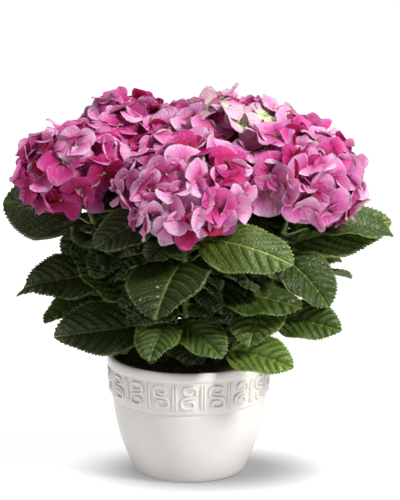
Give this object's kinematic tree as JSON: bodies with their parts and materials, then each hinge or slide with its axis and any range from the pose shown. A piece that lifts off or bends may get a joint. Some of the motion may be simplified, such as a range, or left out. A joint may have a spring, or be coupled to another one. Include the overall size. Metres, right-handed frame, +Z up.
{
  "type": "potted hydrangea shrub",
  "caption": "Mophead hydrangea shrub in bloom: domed pink flower heads on leafy canes, growing in a round white glazed pot with a raised scroll band.",
  "frame": {"origin": "middle of the pot's flat underside", "axes": "+Z up, -Y towards the front of the plant, +X to the right as seen from the front"},
  "size_m": [0.4299, 0.3896, 0.4252],
  "materials": {
    "glazed_pot": "white glaze, satin to glossy",
    "potting_soil": "dark damp potting mix",
    "woody_cane": "pale brown young bark",
    "green_leaf": "dark green, veined, slightly glossy",
    "pink_flower": "pink petals, matt"
  },
  "bodies": {
    "root": {"pot": "glazed_pot", "soil": "potting_soil", "cane_front": "woody_cane", "leaves_front": "green_leaf", "flower_head_front": "pink_flower", "cane_left": "woody_cane", "leaves_left": "green_leaf", "flower_head_left": "pink_flower", "cane_right": "woody_cane", "leaves_right": "green_leaf", "flower_head_right": "pink_flower", "cane_back_left": "woody_cane", "leaves_back_left": "green_leaf", "flower_head_back_left": "pink_flower", "cane_top": "woody_cane", "leaves_top": "green_leaf", "flower_head_top": "pink_flower", "cane_back_right": "woody_cane", "leaves_back_right": "green_leaf", "flower_head_back_right": "pink_flower", "cane_back": "woody_cane", "leaves_back": "green_leaf", "flower_head_back": "pink_flower", "cane_low_left": "woody_cane", "leaves_low_left": "green_leaf", "flower_head_low_left": "pink_flower"}
  },
  "joints": []
}
